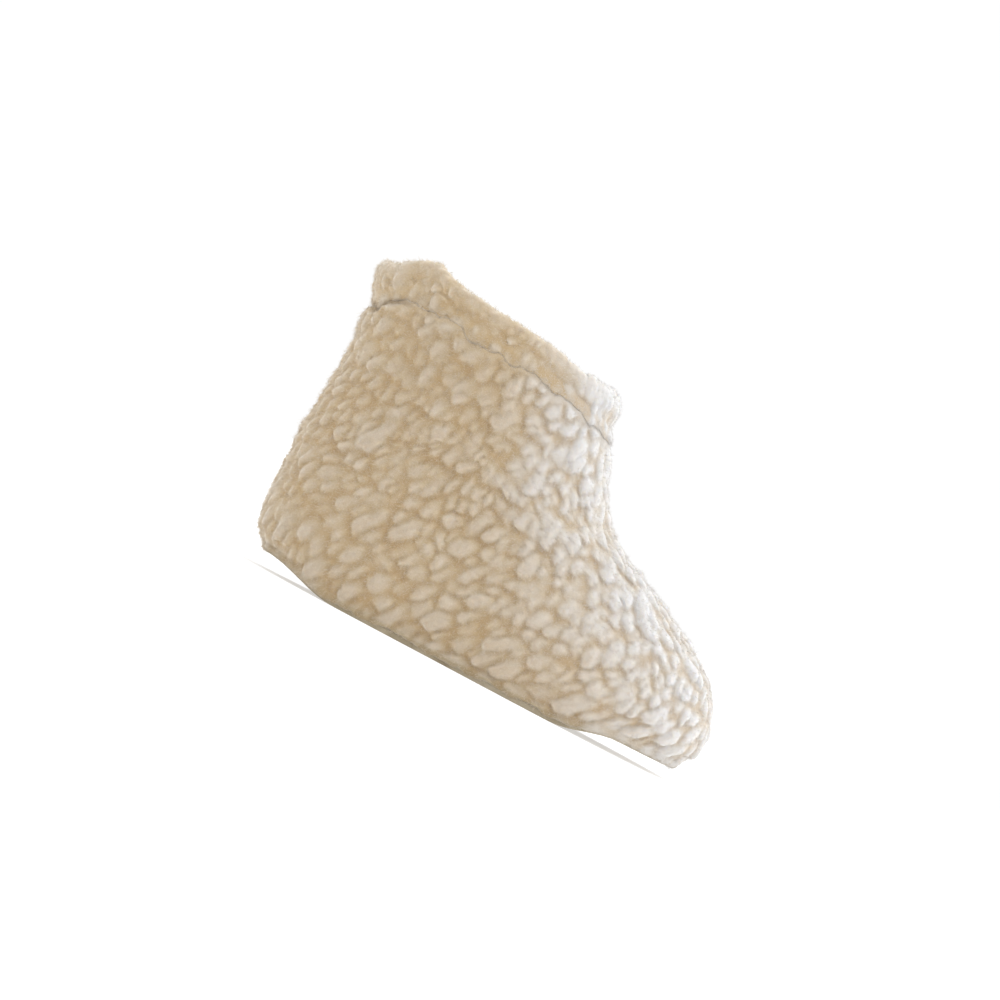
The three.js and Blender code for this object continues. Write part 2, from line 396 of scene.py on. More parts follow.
def ramp(tree, source, stops):
    node = tree.nodes.new("ShaderNodeValToRGB")
    elements = node.color_ramp.elements
    while len(elements) < len(stops):
        elements.new(0.5)
    for element, (at, color) in zip(elements, stops):
        element.position = at
        element.color = (*color, 1)
    tree.links.new(source, node.inputs["Fac"])
    return node


def mix(tree, factor, a, b, blend="MIX"):
    node = tree.nodes.new("ShaderNodeMix")
    node.data_type = "RGBA"
    node.blend_type = blend
    for socket, value in ((node.inputs[0], factor), (node.inputs[6], a), (node.inputs[7], b)):
        if isinstance(value, bpy.types.NodeSocket):
            tree.links.new(value, socket)
        else:
            socket.default_value = value if isinstance(value, float) else (*value, 1)
    return node.outputs[2]


def map_range(tree, source, low, high, to_low, to_high):
    node = add(tree, "ShaderNodeMapRange")
    for end, value in zip(("From Min", "From Max", "To Min", "To Max"), (low, high, to_low, to_high)):
        node.inputs[end].default_value = value
    tree.links.new(source, node.inputs["Value"])
    return node.outputs["Result"]


def bump(tree, source, strength, distance, normal=None):
    node = add(tree, "ShaderNodeBump")
    node.inputs["Strength"].default_value = strength
    node.inputs["Distance"].default_value = distance
    tree.links.new(source.outputs["Fac"], node.inputs["Height"])
    if normal is not None:
        tree.links.new(normal, node.inputs["Normal"])
    return node.outputs["Normal"]


def grey(value):
    return value, value, value


def paint_lit_tips(tree, color, share):
    """Painted light: the tips turn a neutral near-white where the light falls brightest, and the hollows
    keep their warm painted shade
    """
    painted_light = add(tree, "ShaderNodeAttribute", attribute_name="painted_light")
    # Painted light: a neutral near-white that stands in for the bright cool light on the tips
    lit_tips_tone = mix(tree, share.outputs["Color"], color, (0.655, 0.65, 0.66))
    return mix(tree, painted_light.outputs["Fac"], color, lit_tips_tone)


def fleece(name, hollow_shade, mid, tip, patch):
    """Curly wool: painted shade, warmer and dimmer, in its hollows and along the sole's edge, and
    painted light that whitens its tips towards the lit front, with patches and fine fibres
    """
    material, tree, shader = nodes_of(name)
    pile = add(tree, "ShaderNodeAttribute", attribute_name="pile")
    # Painted shade: the hollows between the curls darker and warmer, the proud tips lighter
    tone = ramp(tree, pile.outputs["Fac"], [(0.08, hollow_shade), (0.45, mid), (0.85, tip)])
    patches = noise_node(tree, 26, 3)
    warm = ramp(tree, patches.outputs["Fac"], [(0.36, (1, 1, 1)), (0.66, patch)])
    color = mix(tree, 0.7, tone.outputs["Color"], warm.outputs["Color"], "MULTIPLY")
    fibres = noise_node(tree, 1500, 4, 0.62, 0.6)
    grain = ramp(tree, fibres.outputs["Fac"], [(0.3, (0.86, 0.83, 0.78)), (0.62, (1, 1, 1))])
    color = mix(tree, 0.8, color, grain.outputs["Color"], "MULTIPLY")
    rim = add(tree, "ShaderNodeAttribute", attribute_name="rim")
    warmer = mix(tree, 1.0, color, (1.0, 0.985, 0.95), "MULTIPLY")
    color = mix(tree, rim.outputs["Fac"], color, warmer)
    # Painted shade: darker and greyer along the pile's lowest edge and under its lip, where shade falls
    edge = add(tree, "ShaderNodeAttribute", attribute_name="edge")
    edge_shade_tone = mix(tree, 1.0, color, (0.7, 0.72, 0.73), "MULTIPLY")
    color = mix(tree, edge.outputs["Fac"], color, edge_shade_tone)
    # Painted light: the proud tips whitened on the lit front, the hollows hardly
    color = paint_lit_tips(tree, color, ramp(tree, pile.outputs["Fac"], [(0.1, grey(0.3)), (0.6, grey(0.9))]))
    tree.links.new(color, shader.inputs["Base Color"])
    shader.inputs["Roughness"].default_value = 0.95
    shader.inputs["Specular IOR Level"].default_value = 0.15
    shader.inputs["Sheen Weight"].default_value = 0.8
    shader.inputs["Sheen Roughness"].default_value = 0.5
    shader.inputs["Sheen Tint"].default_value = (1, 0.99, 0.97, 1)
    # No light is scattered through a thin edge, where it would come out dark
    thin = add(tree, "ShaderNodeAttribute", attribute_name="thin")
    scatter = map_range(tree, thin.outputs["Fac"], 0.0, 1.0, 0.8, 0.0)
    tree.links.new(scatter, shader.inputs["Subsurface Weight"])
    shader.inputs["Subsurface Radius"].default_value = (1.0, 0.82, 0.58)
    shader.inputs["Subsurface Scale"].default_value = 0.0022
    curly = noise_node(tree, 620, 3, 0.6, 1.5)
    lifted = bump(tree, curly, 0.55, 0.0006)
    tree.links.new(bump(tree, fibres, 0.44, 0.0002, lifted), shader.inputs["Normal"])
    return material


def fibre(name, root, tip):
    """Single wool fibres, warmer and dimmer at the root with painted shade, their tips whitened by the
    painted light
    """
    material, tree, shader = nodes_of(name)
    pile = add(tree, "ShaderNodeAttribute", attribute_name="pile")
    # Painted shade at the root, where the pile shades the fibre, lighter to the tip
    tone = ramp(tree, pile.outputs["Fac"], [(0.0, root), (1.0, tip)])
    share = ramp(tree, pile.outputs["Fac"], [(0.0, grey(0.3)), (0.6, grey(0.9))])
    color = paint_lit_tips(tree, tone.outputs["Color"], share)
    tree.links.new(color, shader.inputs["Base Color"])
    shader.inputs["Roughness"].default_value = 0.9
    shader.inputs["Specular IOR Level"].default_value = 0.2
    shader.inputs["Sheen Weight"].default_value = 0.35
    shader.inputs["Sheen Tint"].default_value = (1, 0.95, 0.87, 1)
    return material


def suede(name):
    """Soft sole suede: mottled nap, worn lighter in random patches, with a fine grain"""
    material, tree, shader = nodes_of(name)
    mottle = noise_node(tree, 55, 5, 0.65, 0.8)
    tone = ramp(
        tree,
        mottle.outputs["Fac"],
        [(0.3, (0.3, 0.245, 0.165)), (0.52, (0.38, 0.32, 0.225)), (0.72, (0.46, 0.395, 0.29))],
    )
    nap = noise_node(tree, 900, 4, 0.7)
    grain = ramp(tree, nap.outputs["Fac"], [(0.3, (0.72, 0.7, 0.66)), (0.7, (1, 1, 1))])
    color = mix(tree, 0.75, tone.outputs["Color"], grain.outputs["Color"], "MULTIPLY")
    wear = noise_node(tree, 14, 4, 0.6)
    worn = ramp(tree, wear.outputs["Fac"], [(0.5, grey(0)), (0.68, grey(1))])
    color = mix(tree, worn.outputs["Color"], color, (0.46, 0.4, 0.31))
    tree.links.new(color, shader.inputs["Base Color"])
    rough = ramp(tree, nap.outputs["Fac"], [(0.2, grey(0.8)), (0.8, grey(1))])
    tree.links.new(rough.outputs["Color"], shader.inputs["Roughness"])
    shader.inputs["Specular IOR Level"].default_value = 0.25
    shader.inputs["Sheen Weight"].default_value = 0.25
    shader.inputs["Sheen Roughness"].default_value = 0.5
    tree.links.new(bump(tree, nap, 0.6, 0.0004), shader.inputs["Normal"])
    return material


WOOL = fleece("wool", (0.51, 0.38, 0.225), (0.55, 0.45, 0.32), (0.58, 0.5, 0.405), (0.98, 0.95, 0.9))
LINING_WOOL = fleece(
    "lining_wool", (0.48, 0.36, 0.21), (0.53, 0.44, 0.315), (0.6, 0.52, 0.41), (0.98, 0.94, 0.88)
)
FIBRE = fibre("wool_fibre", (0.54, 0.435, 0.31), (0.65, 0.58, 0.485))
SUEDE = suede("sole_suede_nap")


# The outer pile


def even_rows(spacing):
    """Rows of the wall whose rings lie this far apart on average"""
    rows = np.linspace(0, TOP, 1101)
    angles = np.linspace(0, 2 * np.pi, 48, endpoint=False)
    points = skin(rows[:, None], angles[None, :])
    steps = np.linalg.norm(np.diff(points, axis=0), axis=2)
    run = np.concatenate([[0], np.cumsum(0.5 * steps.mean(1) + 0.5 * steps.max(1))])
    count = int(round(run[-1] / spacing))
    return np.interp(np.linspace(0, run[-1], count + 1), run, rows)


def wall_rings(rows, spacing):
    """Row and angle of each point of evenly pointed rings, their counts and their shifts"""
    counts, shifts, all_rows, all_angles = [], [], [], []
    for r, row in enumerate(rows):
        points_at = lambda angle, row=row: skin(np.full_like(angle, row), angle)
        count = ring_count(points_at, spacing)
        shift = 0.5 * (r % 2)
        angles, _ = even_angles(points_at, count, shift)
        counts.append(count)
        shifts.append(shift)
        all_rows.append(np.full(count, row))
        all_angles.append(angles)
    return counts, shifts, np.concatenate(all_rows), np.concatenate(all_angles)


def wall_axes(row, angle):
    """Up the wall, and along it towards the toe"""
    out, up = directions(row, angle)
    toe = unit(np.cross(up, out))
    return out, up, toe * np.where(np.sin(angle) < 0, 1.0, -1.0)[:, None]


def curl_size(row, angle):
    """Finer and busier up the shaft's middle, larger next to the collar, the toe and the sole"""
    ends = smoothstep(np.abs(row / TOP - 0.55), 0.2, 0.5)
    toe = smoothstep(np.cos(angle), 0.2, 0.9) * (1 - smoothstep(row / TOP, 0.3, 0.6))
    return 5.5 + 0.9 * ends + 0.3 * toe


def make_curls(points, row, angle, base, tall, seed):
    """Curls over a stretch of pile: places, axes, reaches and heights. Their ends hang down and back
    along the sides, and straight down at the toe and the heel."""
    local = np.random.default_rng(seed)
    size = base * np.clip(np.exp(local.normal(0, CURL_SPREAD, len(points))), 0.7, 1.5)
    _, up, toe = wall_axes(row, angle)
    beside = np.abs(np.sin(angle)) ** 0.7
    lean = lerp(86.0, CURL_LEAN, beside) + 20 * noise1(points, 34, seed * 1.7)
    lean = np.radians(lean) + local.normal(0, 0.22, len(points))
    tip_axis = -toe * np.cos(lean)[:, None] - up * np.sin(lean)[:, None]
    kept = thin_out(points, size, tip_axis, CURL_STRETCH, seed + 1)
    size, lean, toe, up = size[kept], lean[kept], toe[kept], up[kept]
    side_axis = toe * np.sin(lean)[:, None] - up * np.cos(lean)[:, None]
    swell = np.exp(local.normal(0, 0.1, len(kept)))
    reach_long = 0.7 * size * swell * CURL_STRETCH ** local.uniform(0.7, 1.3, len(kept))
    reach_short = 0.7 * size * swell
    tall = np.broadcast_to(tall, len(points))[kept]
    height = tall * (size / size.mean()) ** 0.5 * local.uniform(0.65, 1.15, len(kept))
    return points[kept], tip_axis[kept], side_axis, reach_long, reach_short, height


def warped(points, amount=1.8, size=8.0, seed=3.0):
    """Points moved about a little, so that no curl has a clean outline"""
    fine = 0.45 * noise3(points, size * 0.42, seed + 5) + 0.3 * noise3(points, size * 0.22, seed + 9)
    return points + amount * (noise3(points, size, seed) + fine)


def painted_front_light(points):
    """Painted light: lighter towards the instep and the toe, where the light falls brightest: 0 at the
    heel to 1 on the vamp
    """
    along, high = points[:, 0] / LENGTH, points[:, 2] / SHAFT_HEIGHT
    forward = 0.7 * along + 0.45 * high * smoothstep(along, 0.1, 0.5)
    return smoothstep(forward + 0.06 * noise1(points, 40, 27.0), 0.42, 0.86)


def tongues(points_at, wide, long, seed):
    """A row of round tongues along an edge: how far the one at each angle hangs"""
    local = np.random.default_rng(seed)
    dense = np.linspace(0, 2 * np.pi, 1441)
    run = run_along(points_at(dense))
    count = int(run[-1] / (wide * 0.8))
    centres = (np.arange(count) + local.uniform(-0.3, 0.3, count)) / count * run[-1]
    halves = 0.62 * wide * local.uniform(0.75, 1.3, count)
    lengths = local.uniform(*long, count)

    def at(angle):
        along = np.interp(np.asarray(angle) % (2 * np.pi), dense, run)
        away = np.abs(along[:, None] - centres[None, :])
        away = np.minimum(away, run[-1] - away) / halves
        body = np.sqrt(np.maximum(0, 1 - away**2))
        return np.maximum((body * lengths).max(1), 0.6)

    return at


def backing_rings(depth):
    """Coarse rings inside the wall from the sole up, the lowest one on the sole's seat"""
    rings = []
    for row in np.linspace(0, TOP, BACKING_ROWS):
        rows = np.full(BACKING_POINTS, float(row))
        angle = np.linspace(0, 2 * np.pi, BACKING_POINTS, endpoint=False)
        ring = skin(rows, angle) - level_out(rows, angle) * depth
        if row == 0:
            ring[:, 2] = seat_height(ring[:, 0])
        rings.append(ring)
    return rings


def at_seam(angle):
    return skin(np.full_like(angle, TOP), angle)


SOLE_TONGUES = tongues(lambda angle: skin(np.zeros_like(angle), angle), 9.0, (0.8, 3.3), 81)
HEM_TONGUES = tongues(at_seam, 10.5, (1.0, 6.2), 82)


def hem_hang(angle):
    """How far the hem's pile hangs over the wall's top"""
    return HEM_TONGUES(angle) + 2.2


def hem_level(angle):
    """How far out both piles are where the hem's edge lies on the wall"""
    return np.clip(-1.2 + 1.3 * noise1(at_seam(angle), 8.0, 55.0), -2.1, -0.5)


def at_ends(base):
    """1 at the heel's and the toe's end of the sole, and 0 between them"""
    return smoothstep(np.abs(base[:, 0] / LENGTH - 0.48), 0.22, 0.33)


def outer_pile():
    """The wall's outer pile, with a rounded edge that hangs over the sole, closed by the backing"""
    rows = even_rows(OUTER_SPACING)
    counts, shifts, row, angle = wall_rings(rows, OUTER_SPACING)
    first = counts[0]
    base = skin(row, angle)
    hang = lerp(SOLE_TONGUES(angle), 3.3 + 0.9 * noise1(base, 5, 18.0), at_ends(base))
    turn = np.radians([90, 68, 45, 22])
    below = np.concatenate([np.repeat(np.sin(turn), first) * np.tile(hang[:first], APRON), 0 * row])
    rounding = np.concatenate([np.repeat(np.cos(turn), first), np.ones_like(row)])
    row = np.concatenate([0 * row[:first]] * APRON + [row])
    angle = np.concatenate([angle[:first]] * APRON + [angle])
    counts, shifts = [first] * APRON + counts, [shifts[0]] * APRON + shifts
    base = skin(row, angle) - UP_Z * below[:, None]
    out, up, toe = wall_axes(row, angle)
    out = unit(out * np.stack([np.ones_like(row), np.ones_like(row), smoothstep(row, 0, 1.2)], -1))
    ends = at_ends(base)
    pick = np.random.default_rng(5).choice(len(base), 34000, replace=False)
    size = curl_size(row, angle)
    tall = 2.9 * lerp(0.78, 1.0, smoothstep(base[pick, 0] / LENGTH, 0.05, 0.4))
    curls = make_curls(base[pick], row[pick], angle[pick], size[pick], tall, 21)
    field, hangs = curl_field(warped(base), curls)
    inner_faces = zip_rings(counts, shifts, False)
    field = smoothed(field, inner_faces, 2, 0.5)
    small = noise1(base, 2.6, 4.0)
    drift = 0.55 * noise1(base, 42, 9.0) + 0.45 * noise1(base, 17, 2.0)
    # Drawn in under the hem's tongues, and out over the sole's edge
    to_seam = np.linalg.norm(at_seam(angle) - base, axis=1)
    hem_hangs = hem_hang(angle)
    beside_hem = 1 - smoothstep(to_seam, hem_hangs + 0.6, hem_hangs + 3.2)
    under_hem = 1 - smoothstep(to_seam, hem_hangs - 2.3, hem_hangs - 1.3)
    heel = smoothstep(-np.cos(angle), 0.55, 0.97) * smoothstep(row, -0.05, 0.7)
    toe_end = smoothstep(np.cos(angle), 0.5, 0.95) * smoothstep(row, -0.6, 1.2)
    toe_end = toe_end * (1 - smoothstep(row, 5.5, 7.0))
    # Fuller at the heel and the toe than the solid
    raised = -2.7 + 3.9 * heel + 1.1 * toe_end + field + 0.35 * small * np.clip(field, 0, 1) + drift
    over_sole = 1 - smoothstep(row, 0, 0.7)
    proud = np.maximum(raised, np.maximum(2.3 + 0.8 * raised, 0.45)) + 0.2 * ends
    raised = lerp(raised, 0.1 + (proud - 0.1) * rounding, over_sole)
    raised = lerp(raised, hem_level(angle) - 0.12, beside_hem)
    raised = lerp(raised, UNDER_HEM, under_hem)
    droop = 0.55 * np.maximum(field - 0.6, 0) * (1 - beside_hem) * (1 - 0.8 * over_sole)
    points = base + out * raised[:, None] + hangs * droop[:, None]
    points[:, 2] = np.maximum(points[:, 2], 0.3)
    over_edge = np.interp(row, rows, np.arange(len(rows)) * OUTER_SPACING) - below
    # Painted shade: darker in the curls' hollows, and a dim mid tone beside the hem, under its hanging
    # edge
    pile = lerp(np.clip((field + 0.3 * small) / 2.7, 0, 1), 0.3, beside_hem)
    # Painted shade: darker still towards the sole's edge, less so at the heel and the toe
    pile = pile * lerp(lerp(0.1, 0.8, ends), 1.0, smoothstep(over_edge, -2.5, 4.0))
    # Painted shade: the edge mask dims the pile along its lowest edge
    edge = (1 - smoothstep(over_edge + 0.8 * small, -1.5, 4.5)) * lerp(1.0, 0.45, ends)
    pile = smoothed(pile, inner_faces, 1, 0.5)

    closing = base[:first] + out[:first] * 0.08
    lip_rings = [
        closing + UP_Z * below[:first, None],
        closing + UP_Z * 0.25 * below[:first, None],
        closing + (points[:first] - closing) * 0.5 - UP_Z * 0.15,
    ]
    lip = first * len(lip_rings)
    # Painted shade: the lip under the pile's edge, darkest at the bottom
    lip_shade = np.concatenate([np.zeros(first), 0.2 * pile[:first], 0.6 * pile[:first]])

    backing = backing_rings(BACKING - BACKING_GAP)[::-1]
    unseen = np.zeros(BACKING_POINTS * len(backing))
    all_points = np.concatenate([*lip_rings, points, *backing])
    all_counts = [first] * len(lip_rings) + counts + [BACKING_POINTS] * len(backing)
    all_shifts = [shifts[0]] * len(lip_rings) + shifts + [0] * len(backing)
    faces = np.asarray(zip_rings(all_counts, all_shifts, True))
    near_sole = 1 - smoothstep(over_edge, -0.5, 4.0)
    near_hem = 1 - smoothstep(to_seam, hem_hangs + 2.0, hem_hangs + 7.0)
    # The layers: painted shade in the hollows and along the sole's edge, painted light towards the toe,
    # and where the scattering stops
    layers = {
        "pile": np.concatenate([lip_shade, pile, unseen]),
        "painted_light": painted_front_light(all_points),
        "edge": np.concatenate([np.ones(lip), edge, unseen]),
        "thin": np.concatenate([np.ones(lip), np.maximum(near_sole, near_hem), unseen]),
    }
    obj = mesh_object("upper_fleece", all_points, faces, WOOL, layers)
    hairy_from, hairy_to = lip - first, lip + len(points)
    hairy = faces[((faces >= hairy_from) & (faces < hairy_to)).all(1)]
    # The fibres are twice as many along the sole's edge
    at_edge = hairy[(hairy < lip + 3 * first).all(1)]
    hairy = np.concatenate([hairy, at_edge])
    combed = np.tile([0.0, 0.0, -1.0], (len(all_points), 1))
    combed[lip:hairy_to] = hangs
    return obj, all_points, hairy, combed


# Single fibres


def strands(name, points, faces, count, reach, width, seed, comb=None, stand=0.5):
    """Short bent fibres, each a thin strip that ends in a point, rooted on these faces and lying along
    the curls"""
    comb = np.tile([0.0, 0.0, -1.0], (len(points), 1)) if comb is None else comb
    local = np.random.default_rng(seed)
    a, b, c = (points[faces[:, i]] for i in range(3))
    normal = np.cross(b - a, c - a)
    area = np.linalg.norm(normal, axis=1)
    # Painted light towards the toe, taken where each fibre is rooted
    painted_light = painted_front_light(points)
    normal = normal / np.maximum(area, 1e-9)[:, None]
    chosen = local.choice(len(faces), count, p=area / area.sum())
    u, v = local.random(count), local.random(count)
    flip = u + v > 1
    u[flip], v[flip] = 1 - u[flip], 1 - v[flip]
    root = a[chosen] + (b[chosen] - a[chosen]) * u[:, None] + (c[chosen] - a[chosen]) * v[:, None]
    normal = normal[chosen]
    stray = local.normal(0, 1, (count, 3))
    start = unit(normal * stand + 0.36 * stray + 0.45 * comb[faces[chosen, 0]])
    length = (reach * np.exp(local.normal(0, 0.28, count)))[:, None]
    turned = unit(start + 0.75 * local.normal(0, 1, (count, 3)))
    side = unit(np.cross(start, local.normal(0, 1, (count, 3)))) * width / 2
    root = root - normal * 0.15
    root[:, 2] = np.maximum(root[:, 2], 0.6)
    start[:, 2] = np.where(root[:, 2] < 3.5, np.maximum(start[:, 2], -0.05), start[:, 2])
    turned[:, 2] = np.where(root[:, 2] < 3.5, np.maximum(turned[:, 2], 0), turned[:, 2])
    middle = root + start * length * 0.5
    tip = middle + turned * length * 0.5
    corners = np.stack([root - side, root + side, middle - side * 0.8, middle + side * 0.8, tip], 1)
    corners[..., 2] = np.maximum(corners[..., 2], 0.05)
    first = np.arange(count)[:, None] * 5
    faces_at = faces[chosen, 0]
    faces = np.concatenate([first + [0, 1, 3], first + [0, 3, 2], first + [2, 3, 4]], 1).reshape(-1, 3)
    # Painted shade at each fibre's root, lighter to its tip
    layers = {"pile": np.tile([0.0, 0.0, 0.6, 0.6, 1.0], count), "painted_light": np.repeat(painted_light[faces_at], 5)}
    return mesh_object(name, corners.reshape(-1, 3), faces, FIBRE, layers, smooth=False)


# The rolled hem


def hem_path(count):
    """The hem's cross-section from its outer lower corner over the rolled edge to its inner one:
    depth into the wall, height over the seam"""
    roll = WALL / 2 + HEM_PUFF
    side = HEM_HEIGHT - roll
    rise = np.linspace(0, side, 60)[:-1]
    turn = np.linspace(0, np.pi, 60)
    outer = np.stack([-HEM_PUFF * np.sin(0.5 * np.pi * rise / side), rise], 1)
    top = np.stack([WALL / 2 - roll * np.cos(turn), side + roll * np.sin(turn)], 1)
    inner = np.stack([WALL - outer[:, 0], outer[:, 1]], 1)[::-1]
    path = np.concatenate([outer, top, inner])
    run = run_along(path)
    wanted = np.linspace(0, run[-1], count)
    even = np.stack([np.interp(wanted, run, path[:, i]) for i in range(2)], 1)
    return even, wanted, run[-1]


def hem():
    """The rolled fleece round the collar, whose outer edge hangs in tongues over the wall's top"""
    path, run, whole = hem_path(52)
    count = ring_count(at_seam, HEM_SPACING)
    counts, shifts = [count] * len(path), [0.5 * (r % 2) for r in range(len(path))]
    angle = np.concatenate([even_angles(at_seam, count, shift)[0] for shift in shifts])
    which = np.repeat(np.arange(len(path)), count)
    angle = np.concatenate([np.tile(angle[:count], APRON), angle])
    which = np.concatenate([np.zeros(APRON * count, int), which])
    counts, shifts = [count] * APRON + counts, [shifts[0]] * APRON + shifts
    hang = hem_hang(angle)
    share = np.repeat([1, 0.75, 0.5, 0.25], count)
    below = np.concatenate([share, np.zeros(len(angle) - len(share))]) * hang
    row = np.full_like(angle, TOP)
    out, up, toe = wall_axes(row, angle)
    depth, height = path[which, 0], path[which, 1]
    base = skin(row, angle) + up * (SEAM_GAP + height - below)[:, None] - out * depth[:, None]
    slope = np.gradient(path, axis=0)
    slope = (slope / np.linalg.norm(slope, axis=1, keepdims=True))[which]
    face = unit(out * slope[:, 1:] + up * slope[:, :1])
    climb = unit(up * slope[:, 1:] - out * slope[:, :1])

    local = np.random.default_rng(41)
    pick = local.choice(len(base), 12000, replace=False)
    outside = (1 - smoothstep(run[which], 14, 24))[pick]
    front = smoothstep(np.cos(angle[pick]), 0.1, 0.85)
    low = (1 - smoothstep(height[pick], 6.5, 12.5)) * outside
    size = 5.6 + 1.6 * front + 0.9 * (1 - low)
    size = size * np.exp(local.normal(0, 0.22, len(pick)))
    beside = np.abs(np.sin(angle[pick])) ** 0.7
    lean = np.radians(lerp(86, 38, beside) + 20 * noise1(base[pick], 25, 3.3))
    lean = lean + local.normal(0, 0.3, len(pick))
    tip_axis = -toe[pick] * np.cos(lean)[:, None] - climb[pick] * np.sin(lean)[:, None]
    kept = thin_out(base[pick], size, tip_axis, 1.9, 43)
    chosen, size, lean = pick[kept], size[kept], lean[kept]
    side_axis = toe[chosen] * np.sin(lean)[:, None] - climb[chosen] * np.cos(lean)[:, None]
    tall = np.maximum(lerp(1.4, 3.1, low[kept]), lerp(0, 2.8, front[kept]))
    curls = (
        base[chosen], tip_axis[kept], side_axis, size * 1.35, size * 0.7,
        tall * local.uniform(0.7, 1.15, len(chosen)),
    )
    field, hangs = curl_field(warped(base), curls, seed=2.0)
    faces = np.asarray(zip_rings(counts, shifts, False))
    field = smoothed(field, faces, 1, 0.5)
    drift = 0.7 * noise1(base, 26, 12.0) + 0.3 * noise1(base, 7, 13.0)
    tufts = 1.5 * np.maximum(0, noise1(base, 11, 31.0) - 0.2) * smoothstep(height, 12, 17)
    inner_corner = whole - run[which]
    roll = (1 - np.clip(inner_corner / 3.4, 0, 1)) ** 2 * 0.6
    sunk = lerp(-1.7, -2.7, 1 - smoothstep(height, 5, 11))
    sunk = np.where(depth > WALL / 2, -1.5, sunk)
    raised = sunk + field + drift + tufts - roll + 0.2 * noise1(base, 2.4, 6.0)
    outer_corner = run[which]
    over_wall = 1 - smoothstep(outer_corner - below, 0, 4)
    outer_half = 1 - smoothstep(depth, 0, WALL)
    # Fuller at the back and the front
    raised = raised + 3.4 * smoothstep(-np.cos(angle), 0.6, 0.97) * outer_half
    raised = raised + 2.0 * smoothstep(np.cos(angle), 0.8, 0.99) * outer_half * smoothstep(height, 2, 10)
    raised = lerp(raised, np.maximum(np.minimum(raised, 0.9) * 0.8, -1.4), over_wall)
    level = hem_level(angle)
    raised = lerp(raised, level, smoothstep(below / hang, 0.35, 1.0))
    sag = 0.5 * np.maximum(field - 0.6, 0) * smoothstep(inner_corner, 0, 4)
    sag = sag * (1 - smoothstep(height, 8, 16))
    points = base + face * raised[:, None] + hangs * sag[:, None]
    # A higher front corner, and a tuft and a dip near the back
    corner = smoothstep(np.cos(angle), 0.72, 0.99) * smoothstep(height, 3, 15)
    tuft = np.exp(-(((base[:, 0] - 26) / 9) ** 2)) - 0.9 * np.exp(-(((base[:, 0] - 50) / 17) ** 2))
    points = points + up * (4.6 * corner + 1.8 * tuft * smoothstep(height, 6, 16))[:, None]
    # Painted shade: darker in the hollows, at the roll's inner corner and on the tongues' hanging ends,
    # and the roll's top lighter
    pile = np.clip(0.5 * smoothstep(height, 6, 14) + field / 2.6 + 0.1 * drift - 0.25 * roll, 0, 1)
    pile = lerp(pile, 0.22, smoothstep(below / hang, 0.5, 1.0))
    pile = smoothed(pile, faces, 1, 0.5)

    closing, inner_up, inner_out = base[:count], up[:count], out[:count]
    turn_in = np.minimum(2.6, 0.9 * below[:count])[:, None]
    lip = [
        closing + inner_up * below[:count, None] - inner_out * HEM_LIP,
        closing + inner_up * turn_in - inner_out * HEM_LIP,
        closing + inner_up * 1.3 + inner_out * (level[:count, None] - 0.08),
    ]
    all_points = np.concatenate([*lip, points])
    all_faces = np.asarray(zip_rings([count] * 3 + counts, [shifts[0]] * 3 + shifts, True))
    combed = np.concatenate([np.tile(hangs[:count], (3, 1)), hangs])
    # Painted light on the hem: full at its front, a little at its back
    painted_light_front_share = lerp(0.35, 1.0, smoothstep(all_points[:, 0] / LENGTH, 0.38, 0.52))
    thin = 1 - smoothstep(outer_corner - below, 1, 8)
    thin = thin * (1 - smoothstep(inner_corner, 0, 6) * (depth > WALL / 2))
    thin = np.maximum(thin, 1 - smoothstep(inner_corner, 1, 5))
    # Painted shade darkest on the lip tucked under the hem, and painted light towards the front
    layers = {
        "pile": np.concatenate([np.zeros(count * 3), pile]),
        "rim": np.concatenate([np.zeros(count * 3), smoothstep(height, 4, 12)]),
        "painted_light": painted_front_light(all_points) * painted_light_front_share,
        "thin": np.concatenate([np.ones(count * 3), thin]),
    }
    obj = mesh_object("collar_hem_fleece", all_points, all_faces, WOOL, layers)
    which = np.concatenate([np.full(count * 2, -9), np.zeros(count, int), which])
    hairy = all_faces[(which[all_faces] >= 0).all(1) & (which[all_faces] < len(path) - 1).all(1)]
    # Where the fringe grows
    at_edge = hairy[(hairy < (3 + APRON) * count).all(1)]
    return obj, all_points, hairy, combed, at_edge


# The lining and the insole


